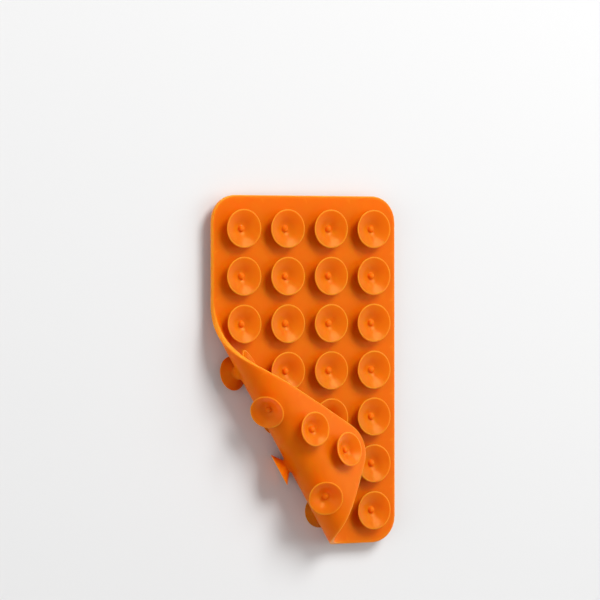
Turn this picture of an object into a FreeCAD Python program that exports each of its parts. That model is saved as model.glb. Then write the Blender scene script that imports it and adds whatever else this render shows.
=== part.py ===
import FreeCAD, Part
import math
import os
import Sketcher
from FreeCAD import Placement, Rotation, Vector

# A silicone mat with suction cups on both faces, lying on its back cups with the lower left
# corner peeled up and folded over. One moulding, so one solid. Front is +Z, top edge is +Y.

doc = FreeCAD.newDocument("suction_mat")
sheet = doc.addObject("Spreadsheet::Sheet", "sizes")

# Driving sizes, in millimetres and degrees
driving = (
    ("mat_width", "60"),
    ("mat_length", "100"),
    ("sheet_thickness", "1.5"),
    ("corner_radius", "7.5"),
    ("column_count", "4"),
    ("row_count", "7"),
    ("column_pitch", "14.2"),
    ("row_pitch", "13.5"),
    ("cup_sides", "14"),
    ("front_cup_diameter", "11"),
    ("back_cup_diameter", "9.8"),
    ("cup_height", "2.8"),
    ("lip_width", "0.45"),
    ("bowl_depth", "1.7"),
    ("foot_diameter", "4.8"),
    ("stem_diameter", "4"),
    ("stem_height", "0.6"),
    ("nub_diameter", "1.8"),
    ("nub_tip_diameter", "1"),
    ("nub_height", "0.75"),
    ("fold_up", "70.8"),
    ("fold_along", "42.9"),
    ("fold_radius", "4.5"),
    ("fold_angle", "172"),
    ("flap_radius", "14"),
    ("flap_angle", "22"),
    ("tip_radius", "90"),
    ("fold_reach", "1.6"),
    ("cup_clearance", "0.25"),
)

# Sizes that follow from them
derived = (
    ("arc_right", "=mat_width - corner_radius"),
    ("arc_top", "=mat_length - corner_radius"),
    ("blank_margin", "=2 * sheet_thickness"),
    ("blank_width", "=mat_width + 2 * blank_margin"),
    ("blank_length", "=mat_length + 2 * blank_margin"),
    ("blank_up", "=fold_up + blank_margin + blank_margin * fold_up / fold_along"),
    ("blank_along", "=fold_along + blank_margin + blank_margin * fold_along / fold_up"),
    ("strip_length", "=2 * (mat_width + mat_length)"),
    ("fold_inner", "=fold_radius - sheet_thickness / 2"),
    ("fold_outer", "=fold_radius + sheet_thickness / 2"),
    ("flap_inner", "=flap_radius - sheet_thickness / 2"),
    ("flap_outer", "=flap_radius + sheet_thickness / 2"),
    ("tip_inner", "=tip_radius - sheet_thickness / 2"),
    ("tip_outer", "=tip_radius + sheet_thickness / 2"),
)

for line, (alias, value) in enumerate(driving + derived, start=1):
    sheet.set(f"A{line}", alias)
    sheet.set(f"B{line}", value)
    sheet.setAlias(f"B{line}", alias)
doc.recompute()
size = {alias: float(sheet.get(alias)) for alias, _ in driving + derived}

thickness = size["sheet_thickness"]
half = thickness / 2
corner = size["corner_radius"]
cup_height = size["cup_height"]
left = -size["mat_width"] / 2
bottom = -size["mat_length"] / 2
mid_height = cup_height + half
up = Vector(0, 0, 1)


def new_body(name):
    body = doc.addObject("PartDesign::Body", name)
    body.Label = name
    return body


def new_sketch(body, role, name):
    plane = next(item for item in body.Origin.OriginFeatures if item.Role == role)
    sketch = body.newObject("Sketcher::SketchObject", name)
    sketch.AttachmentSupport = (plane, [""])
    sketch.MapMode = "FlatFace"
    return sketch


def add_shape(name, shape):
    item = doc.addObject("Part::Feature", name)
    item.Label = name
    item.Shape = shape
    return item


def bind(sketch, constraint, alias):
    index = sketch.addConstraint(constraint)
    sketch.setExpression(f"Constraints[{index}]", f"sizes.{alias}")


def draw(sketch, corners, closed=True):
    # Each corner is the sizes of its x and y, none on an axis, and the radius of the edge after it
    places = [Vector(size.get(x, 0), size.get(y, 0), 0) for x, y, _ in corners]
    edges = len(corners) if closed else len(corners) - 1
    for i in range(edges):
        start = places[i]
        end = places[(i + 1) % len(corners)]
        radius = corners[i][2]
        edge = Part.LineSegment(start, end)
        if radius:
            chord = end - start
            sag = size[radius] - math.sqrt(size[radius] ** 2 - (chord.Length / 2) ** 2)
            crown = (start + end) / 2 + Vector(-chord.y, chord.x, 0).normalize() * sag
            edge = Part.Arc(start, crown, end)
        sketch.addGeometry(edge, False)

    def end_at(edge, place):
        gaps = [(sketch.getPoint(edge, end) - place).Length for end in (1, 2)]
        return edge, 1 if gaps[0] < gaps[1] else 2

    for i, (x, y, radius) in enumerate(corners):
        leaving = end_at(min(i, edges - 1), places[i])
        if closed or 0 < i < edges:
            arriving = end_at((i - 1) % edges, places[i])
            sketch.addConstraint(Sketcher.Constraint("Coincident", *arriving, *leaving))
        if x:
            bind(sketch, Sketcher.Constraint("DistanceX", -1, 1, *leaving, places[i].x), x)
        else:
            sketch.addConstraint(Sketcher.Constraint("PointOnObject", *leaving, -2))
        if y:
            bind(sketch, Sketcher.Constraint("DistanceY", -1, 1, *leaving, places[i].y), y)
        else:
            sketch.addConstraint(Sketcher.Constraint("PointOnObject", *leaving, -1))
        if radius:
            bind(sketch, Sketcher.Constraint("Radius", i, size[radius]), radius)


# Fold line, from up the left edge to along the bottom edge, and the directions that it sets
fold_top = Vector(left, bottom + size["fold_up"], 0)
fold_foot = Vector(left + size["fold_along"], bottom, 0)
along = (fold_foot - fold_top).normalize()
across = along.cross(up)
fold_offset = fold_top.dot(across)

# The curl is three bends in a row, and the last one reaches past the rounded corner
fold_run = size["fold_radius"] * math.radians(size["fold_angle"])
flap_run = size["flap_radius"] * math.radians(size["flap_angle"])
corner_run = Vector(left + corner, bottom + corner, 0).dot(across) - fold_offset + corner
tip_run = corner_run + size["blank_margin"] - fold_run - flap_run
bends = (("fold", fold_run), ("flap", flap_run), ("tip", tip_run))


def curl(run):
    # Place, direction across, front normal and turn of the sheet's middle, a run past the fold line
    place = fold_offset + min(run, 0.0)
    height = mid_height
    turn = 0.0
    for bend, length in bends:
        radius = size[f"{bend}_radius"]
        step = min(max(run, 0.0), length)
        end = turn + step / radius
        place += radius * (math.sin(end) - math.sin(turn))
        height += radius * (math.cos(turn) - math.cos(end))
        turn = end
        run -= step
    tangent = across * math.cos(turn) + up * math.sin(turn)
    normal = up * math.cos(turn) - across * math.sin(turn)
    return across * place + up * height, tangent, normal, turn


def on_sheet(x, y):
    # The same for a point of the mat as it lies flat, with the run of that point
    flat = Vector(x, y, 0)
    run = flat.dot(across) - fold_offset
    point, tangent, normal, turn = curl(run)
    return point + along * flat.dot(along), tangent, normal, turn, run


# Blank of the flat part, a margin larger than the mat and ending on the fold line
flat_blank = new_body("flat_blank")
blank_outline = new_sketch(flat_blank, "XY_Plane", "blank_outline")
draw(blank_outline, (
    (None, "blank_up", None),
    (None, "blank_length", None),
    ("blank_width", "blank_length", None),
    ("blank_width", None, None),
    ("blank_along", None, None),
))
flat_pad = flat_blank.newObject("PartDesign::Pad", "flat_pad")
flat_pad.Profile = blank_outline
flat_pad.SideType = "Symmetric"
flat_pad.setExpression("Length", "sizes.sheet_thickness")
margin = size["blank_margin"]
flat_blank.Placement = Placement(Vector(left - margin, bottom - margin, mid_height), Rotation())

# Blank of the bent part, three strips that follow each other round the curl
strips = []
start_run = 0.0
for bend, length in bends:
    strip = new_body(f"{bend}_strip")
    section = new_sketch(strip, "YZ_Plane", f"{bend}_section")
    draw(section, (
        (None, f"{bend}_inner", None),
        ("strip_length", f"{bend}_inner", None),
        ("strip_length", f"{bend}_outer", None),
        (None, f"{bend}_outer", None),
    ))
    turned = strip.newObject("PartDesign::Revolution", f"{bend}_turn")
    turned.Profile = section
    turned.ReferenceAxis = (section, ["H_Axis"])
    turned.Angle = math.degrees(length / size[f"{bend}_radius"])
    point, tangent, normal, _ = curl(start_run)
    centre = point + normal * size[f"{bend}_radius"] + along * (size["strip_length"] / 2)
    strip.Placement = Placement(centre, Rotation(tangent, along * -1, normal * -1, "ZXY"))
    strips.append(strip)
    start_run += length
bent_blank = doc.addObject("Part::MultiFuse", "bent_blank")
bent_blank.Label = "bent_blank"
bent_blank.Shapes = [flat_blank, *strips]

# Outline of the flat part, from the fold line round the mat and back to it
mat_outline = doc.addObject("Sketcher::SketchObject", "mat_outline")
draw(mat_outline, (
    (None, "fold_up", None),
    (None, "arc_top", "corner_radius"),
    ("corner_radius", "mat_length", None),
    ("arc_right", "mat_length", "corner_radius"),
    ("mat_width", "arc_top", None),
    ("mat_width", "corner_radius", "corner_radius"),
    ("arc_right", None, None),
    ("fold_along", None, None),
), closed=False)
mat_outline.Placement = Placement(Vector(left, bottom, mid_height), Rotation())
doc.recompute()

# Width of the cut round the mat, and its rise either side of the sheet's middle, in sheet thicknesses
cut_width = 1.0
cut_rise = 0.55

# Stations of the cut on the bent part: down the left edge, round the corner, along the bottom edge
left_stations = 24
corner_stations = 8
bottom_stations = 15


def cut_section(x, y, outward):
    # Section of the cut, square to the sheet and outwards from its edge
    point, tangent, normal, _, _ = on_sheet(x, y)
    far = point + (along * outward.dot(along) + tangent * outward.dot(across)) * (cut_width * thickness)
    rise = normal * (cut_rise * thickness)
    return Part.makePolygon([point + rise, point - rise, far - rise, far + rise, point + rise])


sections = []
for i in range(left_stations):
    y = bottom + size["fold_up"] + (corner - size["fold_up"]) * i / left_stations
    sections.append(cut_section(left, y, Vector(-1, 0, 0)))
for i in range(corner_stations):
    turn = math.radians(180 + 90 * i / corner_stations)
    spoke = Vector(math.cos(turn), math.sin(turn), 0)
    x = left + corner + corner * spoke.x
    y = bottom + corner + corner * spoke.y
    sections.append(cut_section(x, y, spoke))
for i in range(bottom_stations):
    x = left + corner + (size["fold_along"] - corner) * i / (bottom_stations - 1)
    sections.append(cut_section(x, bottom, Vector(0, -1, 0)))
outline_path = Part.Wire(Part.sortEdges(mat_outline.Shape.Edges)[0])
flat_cut = outline_path.makePipeShell([sections[0]], True, False)
curl_cut = Part.makeLoft(sections, True, False)
pieces = bent_blank.Shape.cut([flat_cut, curl_cut]).Solids
middle = Vector(0, 0, mid_height)
mat_sheet = add_shape("mat_sheet", next(piece for piece in pieces if piece.isInside(middle, 1e-4, True)))

# Cup profile from its root in the sheet, out over the stem and belly to the lip, then down the
# bowl and up the nub: radius and height above the sheet's face, with the rim's own radius left open.
# The root goes into the sheet by a little less than half its thickness.
root_share = 0.46
root_depth = root_share * thickness
bowl_floor = cup_height - size["bowl_depth"]
sides = round(size["cup_sides"])


def cup_rings(rim):
    return (
        (size["foot_diameter"] / 2, -root_depth),
        (size["stem_diameter"] / 2, size["stem_height"]),
        (rim, cup_height),
        (rim - size["lip_width"], cup_height),
        (size["nub_diameter"] / 2, bowl_floor),
        (size["nub_tip_diameter"] / 2, bowl_floor + size["nub_height"]),
    )


def facet(points):
    return Part.Face(Part.makePolygon([*points, points[0]]))


def cup_shape(rim, ahead, behind):
    # The profile taken round in flat sides, pressed to the given reach on each half
    loops = []
    for radius, height in cup_rings(rim):
        loop = []
        for side in range(sides):
            turn = 2 * math.pi * side / sides
            press = ahead / rim if side < sides / 2 else behind / rim
            loop.append(Vector(radius * math.cos(turn), radius * math.sin(turn) * press, height))
        loops.append(loop)
    facets = [facet(loops[0]), facet(loops[-1])]
    for lower, upper in zip(loops, loops[1:]):
        for i in range(sides):
            facets.append(facet([lower[i - 1], lower[i], upper[i], upper[i - 1]]))
    return Part.Solid(Part.Shell(facets)).removeSplitter()


front_rim = size["front_cup_diameter"] / 2
back_rim = size["back_cup_diameter"] / 2
front_cup = cup_shape(front_rim, front_rim, front_rim)
back_cup = cup_shape(back_rim, back_rim, back_rim)
fold_axis = across * fold_offset + up * (mid_height + size["fold_radius"])
room = size["fold_inner"] - size["cup_clearance"]


def wall_reach(lip, direction):
    # How far a lip reaches before it meets the hollow side of the fold, if it ever does
    offset = lip - fold_axis
    offset = offset - along * offset.dot(along)
    lean = direction.dot(offset)
    span = lean ** 2 - offset.dot(offset) + room ** 2
    return math.sqrt(span) - lean if span > 0 else math.inf


def front_copy(name, x, y):
    # A cup in the fold is pressed where its lip would meet the other wall
    point, tangent, normal, _, run = on_sheet(x, y)
    lip = point + normal * (half + cup_height)
    ahead = front_rim
    behind = front_rim
    if run < fold_run:
        ahead = min(ahead, wall_reach(lip, tangent))
    if run < 0:
        ahead = min(ahead, size["fold_reach"] - run)
    if run > 0:
        behind = min(behind, wall_reach(lip, tangent * -1))
    free = min(ahead, behind) == front_rim
    item = add_shape(name, front_cup if free else cup_shape(front_rim, ahead, behind))
    turn = Rotation(tangent.cross(normal), tangent, normal, "ZXY")
    item.Placement = Placement(point + normal * half, turn)
    return item


def back_copy(name, x, y):
    # A cup under the rising fold leans only until its lip lies on the floor
    point, _, normal, turn, _ = on_sheet(x, y)
    foot = point - normal * half
    reach = math.hypot(cup_height, back_rim)
    if foot.z < reach:
        turn = min(turn, math.atan2(back_rim, cup_height) - math.acos(foot.z / reach))
    item = add_shape(name, back_cup)
    lean = Rotation(along * -1, math.degrees(turn))
    item.Placement = Placement(foot, lean * Rotation(along, 180))
    return item


cups = []
columns = round(size["column_count"])
rows = round(size["row_count"])
for column in range(columns):
    for row in range(rows):
        x = (column - (columns - 1) / 2) * size["column_pitch"]
        y = ((rows - 1) / 2 - row) * size["row_pitch"]
        cups.append(front_copy(f"front_cup_{column + 1}_{row + 1}", x, y))
        cups.append(back_copy(f"back_cup_{column + 1}_{row + 1}", x, y))

suction_mat = doc.addObject("Part::MultiFuse", "suction_mat")
suction_mat.Label = "suction_mat"
suction_mat.Shapes = [mat_sheet, *cups]
doc.recompute()

for item in doc.Objects:
    if "Invalid" in item.State or "Error" in item.State:
        raise RuntimeError(f"{item.Name} failed to build")
for item in (flat_blank, *strips, bent_blank, mat_sheet, *cups, suction_mat):
    if item.Shape.isNull() or not item.Shape.isValid() or len(item.Shape.Solids) != 1:
        raise RuntimeError(f"{item.Name} is not one sound solid")
os.makedirs("parts", exist_ok=True)
suction_mat.Shape.exportStep(f"parts/{suction_mat.Label}.step")
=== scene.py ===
import math
import bpy
import numpy as np
from mathutils import Matrix, Vector


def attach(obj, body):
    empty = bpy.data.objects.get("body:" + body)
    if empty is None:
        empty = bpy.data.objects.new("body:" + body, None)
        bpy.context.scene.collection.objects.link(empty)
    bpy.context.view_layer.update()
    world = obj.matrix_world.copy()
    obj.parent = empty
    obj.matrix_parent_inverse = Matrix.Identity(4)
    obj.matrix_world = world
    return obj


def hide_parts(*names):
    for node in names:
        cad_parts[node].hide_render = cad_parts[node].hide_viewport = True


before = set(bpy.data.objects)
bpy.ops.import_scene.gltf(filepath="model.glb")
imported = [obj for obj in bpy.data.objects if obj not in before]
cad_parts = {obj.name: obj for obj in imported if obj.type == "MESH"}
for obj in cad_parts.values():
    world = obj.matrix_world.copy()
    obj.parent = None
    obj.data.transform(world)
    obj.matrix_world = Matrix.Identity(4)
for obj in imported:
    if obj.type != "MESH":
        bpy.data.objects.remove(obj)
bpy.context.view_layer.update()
mm = 0.001
tiny = 0.01  # in mm or as a share, less than this counts as none
print("frame loaded")


def startFresh():  # nothing selected, so that an operator acts on the new piece alone
    if bpy.context.mode != "OBJECT":
        bpy.ops.object.mode_set(mode="OBJECT")
    bpy.ops.object.select_all(action="DESELECT")


def pickOnly(*pieces):
    startFresh()
    for piece in pieces:
        piece.select_set(True)
    bpy.context.view_layer.objects.active = pieces[0]


def editEdges(piece):
    pickOnly(piece)
    bpy.ops.object.mode_set(mode="EDIT")
    bpy.ops.mesh.select_mode(type="EDGE")
    bpy.ops.mesh.select_all(action="DESELECT")


def pickEdges(piece, wanted):  # selects the edges whose two ends pass the test
    editEdges(piece)
    bpy.ops.object.mode_set(mode="OBJECT")
    verts = piece.data.vertices
    for edge in piece.data.edges:
        edge.select = wanted(*(verts[end].co / mm for end in edge.vertices))
    bpy.ops.object.mode_set(mode="EDIT")


def applyModifier(piece, kind, **settings):
    modifier = piece.modifiers.new(kind.lower(), kind)
    for name, value in settings.items():
        setattr(modifier, name, value)
    pickOnly(piece)
    bpy.ops.object.modifier_apply(modifier=modifier.name)


matSize = {  # the mat as it lies flat, in mm
    "width": 60.0,
    "length": 100.0,
    "thickness": 1.5,
    "cornerRadius": 7.5,
    "columns": 4,
    "rows": 7,
    "columnPitch": 14.2,
    "rowPitch": 13.5,
    "edgeRound": 0.42,
    "edgeSegments": 4,
    "outlineBand": 0.02,  # a point that is nearer to the outline is on it
    "edgeFade": (0.55, 0.15),  # from the outline to where the painted highlight on the rounded edge starts, and where it is full
}
cupSize = {  # both kinds of cup, in mm
    "frontRim": 5.5,
    "backRim": 4.9,
    "height": 2.8,
    "bowlDepth": 1.7,
    "bowlBulge": 0.42,  # how much the bowl flattens towards its lip
    "nubHeight": 0.5,
    "sectors": 40,  # a multiple of 8, so that a spoke meets each corner of the cell
    "cellSteps": 6,
    "footRadius": 2.95,
    "footBlend": 0.5,  # height over which a cup stops following the sheet
}
cupRings = {  # a cup's section from nub to foot, ring by ring: radius and height in mm
    "nub": ((0.3, 0), (0.58, -0.08), (0.78, -0.25), (0.86, -0.46)),  # height from the nub's top
    "dimple": ((0.92, -0.22), (1.05, -0.3), (1.3, -0.22),  # height from the bowl's floor
               (1.6, -0.07), (1.85, 0.03)),
    "bowl": (0.12, 0.27, 0.45, 0.63, 0.8, 0.93),  # shares of the way from the dimple to the bowl's end
    "bowlEnd": (-0.48, -0.07),  # from the rim, and from the cup's top
    # from the rim and from the cup's top, then how far the ring is lip and bowl
    "lip": ((-0.43, -0.035, 0.1, 0.7), (-0.32, 0, 0.6, 0.2), (-0.16, 0, 1, 0),
            (-0.05, -0.04, 1, 0), (0, -0.14, 0.6, 0), (-0.16, -0.3, 0, 0)),
    "bell": ((4.55, 2.08, 0.8), (3.6, 1.5, 0.5), (2.8, 1.03, 0.2)),  # then its share of a slimmer rim
    "stem": ((2.25, 0.72), (2.02, 0.53), (2.06, 0.34), (2.24, 0.15), (2.55, 0.035)),
}
half = matSize["thickness"] / 2
midHeight = cupSize["height"] + half

# One cup with its cell of sheet: a small disc drawn out from the nub to the sheet, ring by ring


def cupProfile(rim):  # radius, height above the sheet's face, and how far it is lip and bowl
    top = cupSize["height"]
    floor = top - cupSize["bowlDepth"]
    nubTop = floor + cupSize["nubHeight"]
    inside = [(radius, nubTop + rise) for radius, rise in cupRings["nub"]]
    inside += [(radius, floor + rise) for radius, rise in cupRings["dimple"]]  # the nub stands in it
    bowlStart, bowlFoot = inside[-1]
    bowlWidth = rim + cupRings["bowlEnd"][0] - bowlStart
    bowlRise = top + cupRings["bowlEnd"][1] - bowlFoot
    bulge = cupSize["bowlBulge"]
    for share in cupRings["bowl"]:
        inside.append((bowlStart + bowlWidth * share,
                       bowlFoot + bowlRise * share * (1 + bulge - bulge * share)))
    lip = [(rim + out, top + rise, isLip, isBowl) for out, rise, isLip, isBowl in cupRings["lip"]]
    slim = cupSize["frontRim"] - rim
    outside = [(radius - slim * share, height) for radius, height, share in cupRings["bell"]]
    outside += cupRings["stem"]
    foot = cupSize["footRadius"]
    outside += [(foot + step, 0) for step in range(cupSize["cellSteps"] + 1)]
    return [ring + (0, 1) for ring in inside] + lip + [ring + (0, 0) for ring in outside]


def onCell(angle):  # where a spoke of the cup ends on the edge of its cell
    turn = (angle + math.pi / 4) % (2 * math.pi)
    side = int(turn // (math.pi / 2)) % 4
    share = (turn % (math.pi / 2)) / (math.pi / 4) - 1
    x, y = ((1, share), (-share, 1), (-1, -share), (share, -1))[side]
    return Vector((x * matSize["columnPitch"] / 2, y * matSize["rowPitch"] / 2))


def onRing(centre, angle, cellEdge, share):  # a flat ring lies between the cup's foot and its cell's edge
    foot = centre + Vector((math.cos(angle), math.sin(angle))) * cupSize["footRadius"]
    return foot.lerp(cellEdge, share)


def modelCup(name, rim, side):
    rings = cupProfile(rim)
    startFresh()
    bpy.ops.mesh.primitive_circle_add(
        vertices=cupSize["sectors"], radius=rings[0][0] * mm, fill_type="TRIFAN",
        location=(0, 0, 0), enter_editmode=True)
    piece = bpy.context.object
    piece.name = name
    bpy.ops.transform.translate(value=(0, 0, rings[0][1] * mm))
    bpy.ops.mesh.select_mode(type="EDGE")
    bpy.ops.mesh.select_all(action="DESELECT")
    bpy.ops.mesh.select_non_manifold()
    for ring, nextRing in zip(rings, rings[1:]):
        rise = (0, 0, (nextRing[1] - ring[1]) * mm)
        bpy.ops.mesh.extrude_region_move(TRANSFORM_OT_translate={"value": rise})
        grow = nextRing[0] / ring[0]
        bpy.ops.transform.resize(value=(grow, grow, 1))
    bpy.ops.object.mode_set(mode="OBJECT")

    # lip marks where the painted highlight and glow go; bowl marks the glossier bowl, which is also
    # painted lighter
    names = ("lip", "bowl", "spoke", "share")
    for mark in names:
        piece.data.attributes.new(mark, "FLOAT", "POINT")
    marks = {mark: piece.data.attributes[mark].data for mark in names}
    for i, vert in enumerate(piece.data.vertices):
        x, y, height = vert.co / mm
        radius = math.hypot(x, y)
        nearest = min(rings, key=lambda ring: math.hypot(ring[0] - radius, ring[1] - height))
        marks["lip"][i].value = nearest[2]
        marks["bowl"][i].value = nearest[3]
        share = (radius - cupSize["footRadius"]) / cupSize["cellSteps"]
        if share > tiny and height < tiny:  # a flat ring spreads out to the edge of the cell
            spoke = math.atan2(y, x)
            marks["spoke"][i].value = spoke
            marks["share"][i].value = share
            vert.co.xy = onRing(Vector((0, 0)), spoke, onCell(spoke), share) * mm
    piece.scale.z = side
    piece.location.z = side * half * mm
    pickOnly(piece)
    bpy.ops.object.transform_apply(location=True, rotation=True, scale=True)
    return piece


# The flat mat: cells in rows and columns, the outer ones out to the rounded outline, and its edge


def toOutline(flat):  # the outer cells stretch out to the mat's outline, and its corners are round
    whole = Vector((matSize["width"] / 2, matSize["length"] / 2))
    pitch = Vector((matSize["columnPitch"], matSize["rowPitch"]))
    outerCup = Vector((matSize["columns"] - 1, matSize["rows"] - 1)) * pitch / 2
    place = flat.copy()
    for axis in range(2):
        beyond = max(abs(flat[axis]) - outerCup[axis], 0) / (pitch[axis] / 2)
        place[axis] += math.copysign(beyond * (whole[axis] - outerCup[axis] - pitch[axis] / 2), flat[axis])
    corner = matSize["cornerRadius"]
    centre = Vector([math.copysign(whole[axis] - corner, flat[axis]) for axis in range(2)])
    inCorner = all(abs(place[axis]) > abs(centre[axis]) for axis in range(2))
    onEdge = any(abs(place[axis]) > whole[axis] - matSize["outlineBand"] for axis in range(2))
    if inCorner and onEdge:
        place = centre + (place - centre).normalized() * corner
    return place


def cellOf(x, y):  # column and row of the cup that a flat point belongs to
    lastColumn = matSize["columns"] - 1
    lastRow = matSize["rows"] - 1
    column = np.clip(np.rint(x / matSize["columnPitch"] + lastColumn / 2), 0, lastColumn)
    row = np.clip(np.rint(lastRow / 2 - y / matSize["rowPitch"]), 0, lastRow)
    return column, row


def cellCentre(column, row):
    return ((column - (matSize["columns"] - 1) / 2) * matSize["columnPitch"],
            ((matSize["rows"] - 1) / 2 - row) * matSize["rowPitch"])


def inset(x, y):  # how far inside the outline a flat point lies
    corner = matSize["cornerRadius"]
    overX = np.abs(x) - (matSize["width"] / 2 - corner)
    overY = np.abs(y) - (matSize["length"] / 2 - corner)
    outside = np.hypot(np.maximum(overX, 0), np.maximum(overY, 0))
    return corner - outside - np.minimum(np.maximum(overX, overY), 0)


def isOutline(place):
    return bool(inset(place.x, place.y) < matSize["outlineBand"])


def modelMat():
    front = modelCup("siliconeMat", cupSize["frontRim"], 1)
    back = modelCup("backCup", cupSize["backRim"], -1)
    pickOnly(front, back)
    bpy.ops.object.join()
    mat = bpy.context.object
    for count, offset in ((matSize["columns"], (matSize["columnPitch"] * mm, 0, 0)),
                          (matSize["rows"], (0, -matSize["rowPitch"] * mm, 0))):
        applyModifier(mat, "ARRAY", count=count, use_relative_offset=False,
                      use_constant_offset=True, constant_offset_displace=offset,
                      use_merge_vertices=True, merge_threshold=tiny * mm)
    firstX, firstY = cellCentre(0, 0)
    mat.location = (firstX * mm, firstY * mm, 0)
    pickOnly(mat)
    bpy.ops.object.transform_apply(location=True, rotation=True, scale=True)
    print("cells laid out,", len(mat.data.vertices), "points")

    spokes = mat.data.attributes["spoke"].data
    shares = mat.data.attributes["share"].data
    for vert in mat.data.vertices:  # the flat rings of the outer cells reach the outline
        share = shares[vert.index].value
        flat = vert.co.xy / mm
        if share > 1 - tiny:
            vert.co.xy = toOutline(flat) * mm
        elif share > 0:
            centre = Vector(cellCentre(*cellOf(*flat)))
            spoke = spokes[vert.index].value
            vert.co.xy = onRing(centre, spoke, toOutline(centre + onCell(spoke)), share) * mm
    for name in ("spoke", "share"):
        mat.data.attributes.remove(mat.data.attributes[name])

    editEdges(mat)  # the two faces are joined round the outline, and the edge is rounded
    bpy.ops.mesh.select_non_manifold()
    bpy.ops.mesh.bridge_edge_loops()
    bpy.ops.mesh.select_all(action="SELECT")
    bpy.ops.mesh.normals_make_consistent(inside=False)
    pickEdges(mat, lambda one, other: isOutline(one) and isOutline(other) and one.z * other.z > 0)
    bpy.ops.mesh.bevel(offset=matSize["edgeRound"] * mm, segments=matSize["edgeSegments"],
                       affect="EDGES", profile=0.5)
    bpy.ops.object.mode_set(mode="OBJECT")
    print("flat mat modelled,", len(mat.data.polygons), "faces")
    return mat


# The curl: three bends in a row past a slanting fold line

curlSize = {  # the peeled corner, in mm and degrees
    "foldUp": 70.8,  # up the left edge to the fold line
    "foldAlong": 42.9,  # along the bottom edge to the fold line
    "foldRadius": 4.5,
    "foldAngle": 172.0,
    "flapRadius": 14.0,
    "flapAngle": 22.0,
    "tipRadius": 90.0,
    "foldReach": 1.6,  # how far past the fold line the lip of a flat cup may go
    "cupClearance": 0.25,  # between a lip and the sheet inside the fold
    "dipHeight": 0.57,  # share of its height that a cup keeps where the flap presses it on others
}
foldTop = Vector((-matSize["width"] / 2, curlSize["foldUp"] - matSize["length"] / 2))
foldFoot = Vector((curlSize["foldAlong"] - matSize["width"] / 2, -matSize["length"] / 2))
along = (foldFoot - foldTop).normalized()
across = Vector((along.y, -along.x))
foldOffset = foldTop.dot(across)
foldRun = curlSize["foldRadius"] * math.radians(curlSize["foldAngle"])
flapRun = curlSize["flapRadius"] * math.radians(curlSize["flapAngle"])
bends = ((curlSize["foldRadius"], foldRun), (curlSize["flapRadius"], flapRun),
         (curlSize["tipRadius"], math.inf))


def smoothStep(low, high, value):
    share = np.clip((value - low) / (high - low), 0, 1)
    return share * share * (3 - 2 * share)


def curlAt(run):  # place across, height and turn of the sheet's middle, a run past the fold line
    place = foldOffset + np.minimum(run, 0)
    height = np.full_like(run, midHeight)
    turn = np.zeros_like(run)
    ahead = np.maximum(run, 0)
    for radius, length in bends:
        step = np.minimum(ahead, length)
        end = turn + step / radius
        place = place + radius * (np.sin(end) - np.sin(turn))
        height = height + radius * (np.cos(turn) - np.cos(end))
        turn = end
        ahead = ahead - step
    return place, height, turn


def wallReach(lipPlace, lipHeight, turn):  # from a lip to the hollow side of the fold
    room = curlSize["foldRadius"] - half - curlSize["cupClearance"]
    offset = Vector((lipPlace - foldOffset, lipHeight - midHeight - curlSize["foldRadius"]))
    lean = offset.dot(Vector((math.cos(turn), math.sin(turn))))
    span = lean ** 2 - offset.dot(offset) + room ** 2
    return math.sqrt(span) - lean if span > 0 else math.inf


def settleCups(run):  # how far a front lip reaches and how tall it stands, and a back cup's lean
    rim = cupSize["frontRim"]
    place, height, turn = curlAt(run)
    ahead = np.full_like(run, rim)
    behind = np.full_like(run, rim)
    tall = np.ones_like(run)
    lean = turn.copy()
    flatLips = midHeight + half + cupSize["height"]
    backLip = math.atan2(cupSize["backRim"], cupSize["height"])
    sweep = math.hypot(cupSize["height"], cupSize["backRim"])
    for i in np.ndindex(run.shape):
        lipPlace = place[i] - math.sin(turn[i]) * midHeight
        lipHeight = height[i] + math.cos(turn[i]) * midHeight
        if run[i] < foldRun:
            ahead[i] = min(rim, wallReach(lipPlace, lipHeight, turn[i]))
        if run[i] < 0:
            ahead[i] = min(ahead[i], curlSize["foldReach"] - run[i])
        if run[i] > 0:
            behind[i] = min(rim, wallReach(lipPlace, lipHeight, turn[i] + math.pi))
        if run[i] > foldRun and lipHeight - rim * abs(math.sin(turn[i])) < flatLips:
            tall[i] = curlSize["dipHeight"]
        footHeight = height[i] - math.cos(turn[i]) * half
        if footHeight < sweep:  # it leans only until its lip lies on the floor
            lean[i] = min(turn[i], backLip - math.acos(footHeight / sweep))
    return ahead, behind, tall, lean


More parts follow.
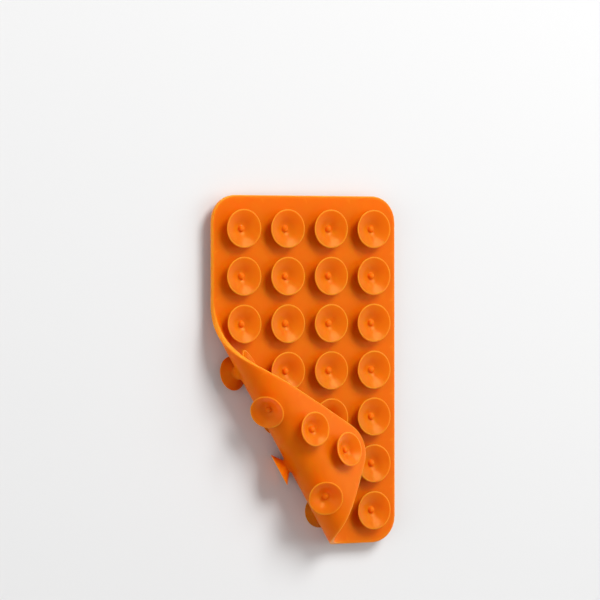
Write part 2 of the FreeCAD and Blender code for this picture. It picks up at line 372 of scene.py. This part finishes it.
def curlMat(mat):
    flat = np.empty(len(mat.data.vertices) * 3)
    mat.data.vertices.foreach_get("co", flat)
    x, y, z = flat.reshape(-1, 3).T / mm
    run = x * across.x + y * across.y - foldOffset  # past the fold line
    reach = x * along.x + y * along.y  # along it
    place, height, turn = curlAt(run)
    sheetPlace = place - np.sin(turn) * z
    sheetHeight = height + np.cos(turn) * z

    # A cup keeps its form, and stands on the bent sheet at the cup's own centre
    column, row = (values.astype(int) for values in cellOf(x, y))
    cellX, cellY = cellCentre(np.arange(matSize["columns"])[:, None],
                              np.arange(matSize["rows"])[None, :])
    cellRun = cellX * across.x + cellY * across.y - foldOffset
    ahead, behind, tall, lean = (values[column, row] for values in settleCups(cellRun))
    place, height, turn = (values[column, row] for values in curlAt(cellRun))
    spread = run - cellRun[column, row]
    press = np.where(spread > 0, ahead, behind) / cupSize["frontRim"]
    front = z > 0
    spread = np.where(front, spread * press, spread)
    tilt = np.where(front, turn, lean)
    rise = np.where(front, half + (z - half) * tall, z + half)
    place = place + np.where(front, 0, np.sin(turn) * half)
    height = height - np.where(front, 0, np.cos(turn) * half)
    cupPlace = place + np.cos(tilt) * spread - np.sin(tilt) * rise
    cupHeight = height + np.sin(tilt) * spread + np.cos(tilt) * rise

    own = smoothStep(0, cupSize["footBlend"], np.abs(z) - half)
    place = sheetPlace * (1 - own) + cupPlace * own
    height = sheetHeight * (1 - own) + cupHeight * own
    bent = np.stack([along.x * reach + across.x * place, along.y * reach + across.y * place, height])
    mat.data.vertices.foreach_set("co", (bent.T * mm).ravel())
    mat.data.update()

    # mask of the painted highlight along the mat's rounded edge, full at the outline and fading inwards
    edge = mat.data.attributes.new("edge", "FLOAT", "POINT")
    edge.data.foreach_set("value", smoothStep(*matSize["edgeFade"], inset(x, y)).astype(np.float32))
    print("corner curled")


siliconeMat = modelMat()
curlMat(siliconeMat)
pickOnly(siliconeMat)
bpy.ops.object.shade_smooth()


# Materials


class Shade:  # one socket of a node tree, with sums written as they read
    def __init__(self, tree, socket=None):
        self.tree = tree
        self.socket = socket

    def make(self, kind, settings=None, out=0, **sockets):  # a socket goes by name, or by number as in i6
        node = self.tree.nodes.new(kind)
        for name, value in (settings or {}).items():
            setattr(node, name, value)
        for name, value in sockets.items():
            key = int(name[1:]) if name[1:].isdigit() else name.replace("_", " ")
            if isinstance(value, Shade):
                self.tree.links.new(value.socket, node.inputs[key])
            else:
                node.inputs[key].default_value = value
        return Shade(self.tree, node.outputs[out] if node.outputs else None)

    def sum(self, operation, one, other):
        return self.make("ShaderNodeMath", {"operation": operation}, i0=one, i1=other)

    def __add__(self, other):
        return self.sum("ADD", self, other)

    __radd__ = __add__

    def __sub__(self, other):
        return self.sum("SUBTRACT", self, other)

    def __rsub__(self, other):
        return self.sum("SUBTRACT", other, self)

    def __mul__(self, other):
        return self.sum("MULTIPLY", self, other)

    __rmul__ = __mul__


def newMaterial(name):
    material = bpy.data.materials.new(name)
    material.use_nodes = True
    material.node_tree.nodes.clear()
    return material, Shade(material.node_tree)


siliconeLook = {
    "colour": (0.82, 0.172, 0.001, 1),
    "deepColour": (0.78, 0.146, 0.001, 1),
    "toneContrast": 0.9,
    "toneShift": 0.2,
    # painted highlight: lips, bowls and the rounded sheet edge are mixed towards this paler colour, for
    # the highlight and glow on thin lips and edges and the lighter bowls
    "paintedHighlightColour": (1.0, 0.33, 0.02, 1),
    "lipPaintedHighlight": 0.75,
    "bowlPaintedLight": 0.08,
    "edgePaintedHighlight": 0.9,
    "roughness": 0.36,
    "roughnessSpread": 0.08,
    "bowlGloss": 0.12,
    "specular": 0.18,
    "specularTint": (1.0, 0.7, 0.22, 1),
    "subsurface": 0.7,
    "subsurfaceScale": 0.003,
    "subsurfaceRadius": (1.0, 0.16, 0.04),
    "broadNoise": {"Scale": 70.0, "Detail": 3.0},
    "fineNoise": {"Scale": 900.0, "Detail": 4.0},
    "grainNoise": {"Scale": 4500.0, "Detail": 2.0},
    "grain": 0.05,
    "grainDepth": 0.02,  # in mm
    "grainShare": 0.6,  # of the grain, beside the fine noise
}


def siliconeMaterial():
    look = siliconeLook
    material, shade = newMaterial("orangeSilicone")
    place = shade.make("ShaderNodeTexCoord", out="Object")
    lip, edge, bowl = (shade.make("ShaderNodeAttribute", {"attribute_name": name}, out="Fac")
                       for name in ("lip", "edge", "bowl"))
    broad, fine, grain = (shade.make("ShaderNodeTexNoise", Vector=place, **look[name])
                          for name in ("broadNoise", "fineNoise", "grainNoise"))

    tone = shade.make("ShaderNodeMix", {"data_type": "RGBA"}, out=2,
                      i0=broad * look["toneContrast"] - look["toneShift"],
                      i6=look["deepColour"], i7=look["colour"])
    # painted highlight and glow on the lips, painted lightening of the bowls, painted highlight along the
    # rounded edge
    light = lip * look["lipPaintedHighlight"] + bowl * look["bowlPaintedLight"] + edge * look["edgePaintedHighlight"]
    colour = shade.make("ShaderNodeMix", {"data_type": "RGBA"}, out=2,
                        i0=light, i6=tone, i7=look["paintedHighlightColour"])
    roughness = look["roughness"] - bowl * look["bowlGloss"] + (fine - 0.5) * look["roughnessSpread"]
    bump = shade.make("ShaderNodeBump", Strength=look["grain"], Distance=look["grainDepth"] * mm,
                      Height=grain * look["grainShare"] + fine * (1 - look["grainShare"]))
    skin = shade.make("ShaderNodeBsdfPrincipled", Base_Color=colour, Roughness=roughness, Normal=bump,
                      Subsurface_Weight=look["subsurface"], Subsurface_Scale=look["subsurfaceScale"],
                      Subsurface_Radius=look["subsurfaceRadius"],
                      Specular_IOR_Level=look["specular"], Specular_Tint=look["specularTint"])
    shade.make("ShaderNodeOutputMaterial", Surface=skin)
    return material


siliconeMat.data.materials.clear()
siliconeMat.data.materials.append(siliconeMaterial())
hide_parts("suction_mat")
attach(siliconeMat, "root")
print("silicone on")

# Floor, light and camera

studio = {  # in metres and watts
    "floorSize": 3.0,
    "floorColour": (0.8, 0.8, 0.8, 1),
    "floorRoughness": 0.9,
    "worldStrength": 0.31,
    "lampDistance": 1.2,
    "key": {"direction": (0.29, 0.64, 0.71), "size": 0.64, "power": 11.8},
    "fill": {"direction": (0.75, 0.05, 0.66), "size": 0.9, "power": 3.4},
    "side": {"direction": (-0.85, 0.02, 0.42), "size": 0.9, "power": 3.4},
}
cameraFit = {  # the photograph's viewpoint, in mm, degrees and pixels
    "pitch": 0.47,
    "yaw": -29.65,
    "roll": -0.09,
    "shift": (0.76, 20.17, 1000.0),
    "focalPixels": 3496.0,
    "framePixels": 600.0,
    "sensorWidth": 36.0,
    "clipEnd": 10000.0,
}


def addFloor():
    startFresh()
    bpy.ops.mesh.primitive_plane_add(size=studio["floorSize"], location=(0, 0, 0))
    floor = bpy.context.object
    floor.name = "floor"
    material, shade = newMaterial("paleFloor")
    skin = shade.make("ShaderNodeBsdfPrincipled", Base_Color=studio["floorColour"],
                      Roughness=studio["floorRoughness"])
    shade.make("ShaderNodeOutputMaterial", Surface=skin)
    floor.data.materials.append(material)


def addLight(name, direction, size, power):
    light = bpy.data.lights.new(name, "AREA")
    light.shape = "DISK"
    light.size = size
    light.energy = power
    lamp = bpy.data.objects.new(name, light)
    bpy.context.scene.collection.objects.link(lamp)
    lamp.location = Vector(direction).normalized() * studio["lampDistance"]
    lamp.rotation_euler = Vector(direction).to_track_quat("Z", "Y").to_euler()


def addWorld():  # white where it is seen, and dimmer as a light
    world = bpy.data.worlds.new("studio")
    world.use_nodes = True
    world.node_tree.nodes.clear()
    shade = Shade(world.node_tree)
    camera, glossy, through = (shade.make("ShaderNodeLightPath", out=name) for name in
                               ("Is Camera Ray", "Is Glossy Ray", "Is Transmission Ray"))
    seen = shade.sum("MINIMUM", camera + glossy + through, 1.0)
    strength = studio["worldStrength"] + seen * (1 - studio["worldStrength"])
    sky = shade.make("ShaderNodeBackground", Color=(1, 1, 1, 1), Strength=strength)
    shade.make("ShaderNodeOutputWorld", Surface=sky)
    bpy.context.scene.world = world


def addCamera():
    fit = cameraFit
    turn = (Matrix.Rotation(math.radians(fit["pitch"]), 3, "X")
            @ Matrix.Rotation(math.radians(fit["yaw"]), 3, "Y")
            @ Matrix.Rotation(math.radians(fit["roll"]), 3, "Z")
            @ Matrix.Diagonal((1, -1, -1)))
    place = -(turn.transposed() @ Vector(fit["shift"])) + Vector((0, 0, cupSize["height"]))
    data = bpy.data.cameras.new("camera")
    data.sensor_width = fit["sensorWidth"]
    data.lens = fit["focalPixels"] / fit["framePixels"] * fit["sensorWidth"]
    data.clip_end = fit["clipEnd"] * mm
    camera = bpy.data.objects.new("camera", data)
    bpy.context.scene.collection.objects.link(camera)
    axes = Matrix((turn[0], -turn[1], -turn[2])).transposed()
    camera.matrix_world = Matrix.Translation(place * mm) @ axes.to_4x4()
    bpy.context.scene.camera = camera


addFloor()
addWorld()
for name in ("key", "fill", "side"):
    addLight(name, **studio[name])
addCamera()
bpy.context.scene.view_settings.view_transform = "Standard"
print("studio set")
